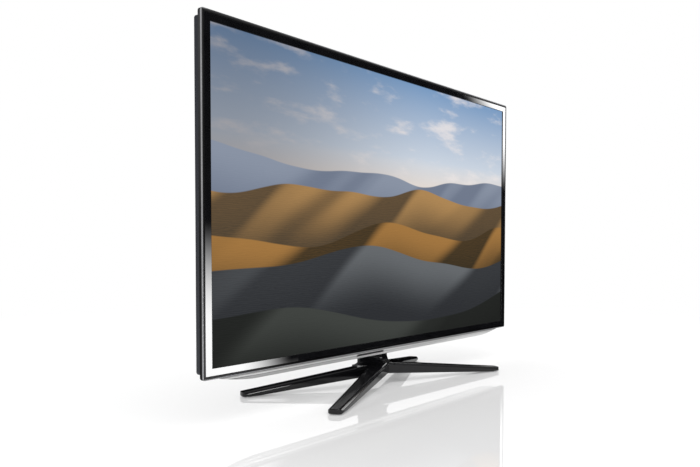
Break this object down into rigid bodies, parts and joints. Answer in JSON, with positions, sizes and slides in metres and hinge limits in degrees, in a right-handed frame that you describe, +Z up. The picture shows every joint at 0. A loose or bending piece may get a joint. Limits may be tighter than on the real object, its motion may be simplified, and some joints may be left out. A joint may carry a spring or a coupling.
{
  "type": "flat screen tv",
  "caption": "Slim edge-lit flat screen tv with gloss frame, silver lip, wall-mount holes and a four-legged swivel stand.",
  "frame": {"origin": "on the surface it stands on, under the middle of the stand's four feet", "axes": "+X to the right of a viewer facing the screen, +Y away from the viewer, +Z up"},
  "size_m": [1.0578, 0.2694, 0.6919],
  "materials": {
    "gloss_black": "high gloss piano black",
    "clear_edge": "clear moulded acrylic",
    "silver": "fine brushed silver with clear coat",
    "smoked": "smoked transparent plastic",
    "screen": "lcd glass with low gloss front",
    "film": "white optical film",
    "guide": "clear acrylic sheet",
    "reflector": "white reflector foil",
    "black_plastic": "fine matte moulded",
    "cover_plastic": "textured blue-grey moulded",
    "steel": "zinc plated sheet",
    "screw_steel": "blackened steel",
    "plain_aluminium": "extruded",
    "board_green": "solder mask",
    "led_body": "led package",
    "component": "moulded component",
    "winding_tape": "polyester tape",
    "socket_metal": "tinned shell",
    "socket_plastic": "socket body",
    "pin_brass": "plated contact",
    "rubber": "matte rubber",
    "white_plastic": "slippery acetal",
    "ribbon": "flat ribbon cable",
    "wire_sleeve": "sleeved wires"
  },
  "bodies": {
    "base": {"stand_casting": "gloss_black", "foot_pads": "rubber", "hub_bottom_cover": "black_plastic", "bottom_cover_screws": "screw_steel", "swivel_lower_plate": "steel", "swivel_washer": "white_plastic", "swivel_pin": "steel", "swivel_nut": "steel", "swivel_screws": "screw_steel"},
    "screen": {"front_bezel": "gloss_black", "clear_edge": "clear_edge", "mould_frame": "black_plastic", "chassis": "steel", "rear_cover": "cover_plastic", "processor_heat_sink": "plain_aluminium", "tuner_can": "socket_metal", "card_slot": "socket_plastic", "lan_socket": "socket_metal", "optical_socket": "socket_plastic", "aerial_socket": "socket_metal", "mains_inlet": "socket_plastic", "wireless_module": "socket_metal", "lower_lip": "silver", "eye_window": "smoked", "eye_board": "board_green", "swivel_upper_plate": "steel", "stand_bracket": "steel", "neck_shroud": "gloss_black", "stick_housing": "black_plastic", "signal_ribbon": "ribbon", "power_harness": "wire_sleeve", "lcd_cell": "screen", "brightness_film": "film", "diffuser_film": "film", "light_guide": "guide", "reflector_sheet": "reflector", "led_bars": "plain_aluminium", "led_packages": "led_body", "led_heat_spreaders": "plain_aluminium", "wall_mount_posts": "steel", "power_board": "board_green", "main_board": "board_green", "timing_board": "board_green", "source_boards": "board_green", "board_screws": "steel", "power_capacitors": "component", "power_transformers": "winding_tape", "power_heat_sinks": "plain_aluminium", "hdmi_sockets": "socket_metal", "usb_sockets": "socket_metal", "sound_jacks": "socket_plastic", "inlet_pins": "pin_brass", "speakers": "black_plastic", "connector_bays": "cover_plastic", "speaker_drivers": "component", "bracket_screws": "screw_steel", "cover_screws": "screw_steel"},
    "stick_rocker": {"stick_gimbal_ring": "black_plastic"},
    "stick_tilter": {"stick_stem": "white_plastic"},
    "stick_button": {"stick_knob": "gloss_black"}
  },
  "joints": [
    {"name": "screen_swivel", "type": "hinge", "parent": "base", "child": "screen", "pos_m": [0, 0.018, 0.0655], "axis": [0, 0, 1], "range_deg": [-20, 20]},
    {"name": "stick_up_down", "type": "hinge", "parent": "screen", "child": "stick_rocker", "pos_m": [0.47, -0.0004, 0.136], "axis": [1, 0, 0], "range_deg": [-6, 6], "stiffness_Nm_per_rad": 0.08},
    {"name": "stick_left_right", "type": "hinge", "parent": "stick_rocker", "child": "stick_tilter", "pos_m": [0.47, -0.0004, 0.136], "axis": [0, 0, 1], "range_deg": [-6, 6], "stiffness_Nm_per_rad": 0.08},
    {"name": "stick_press", "type": "slide", "parent": "stick_tilter", "child": "stick_button", "axis": [0, -1, 0], "range_m": [0, 0.0008], "stiffness_N_per_m": 900}
  ]
}
